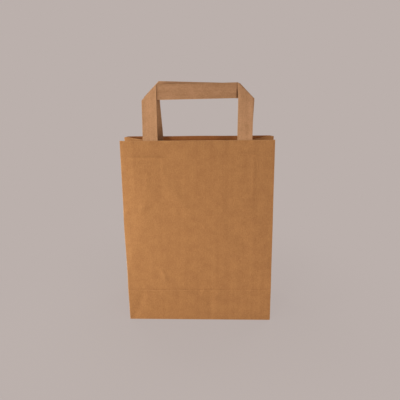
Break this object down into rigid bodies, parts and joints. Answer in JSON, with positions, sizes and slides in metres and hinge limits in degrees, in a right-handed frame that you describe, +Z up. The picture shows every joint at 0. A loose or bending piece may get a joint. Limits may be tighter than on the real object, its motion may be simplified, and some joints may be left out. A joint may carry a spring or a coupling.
{
  "type": "flat handle paper bag",
  "caption": "Upright brown kraft paper carrier bag with a block bottom, folded side gussets and flat folded paper handles.",
  "frame": {"origin": "middle of the base, on the surface that the bag stands on", "axes": "+Z up, -Y towards the front panel, +X to the right seen from the front"},
  "size_m": [0.22, 0.1003, 0.3586],
  "materials": {
    "bag_paper": "uncoated ribbed brown kraft",
    "handle_paper": "uncoated brown kraft in folded plies",
    "patch_paper": "uncoated brown kraft"
  },
  "bodies": {
    "root": {"bag_body": "bag_paper", "front_handle": "handle_paper", "rear_handle": "handle_paper", "front_handle_patch": "patch_paper", "rear_handle_patch": "patch_paper"}
  },
  "joints": []
}
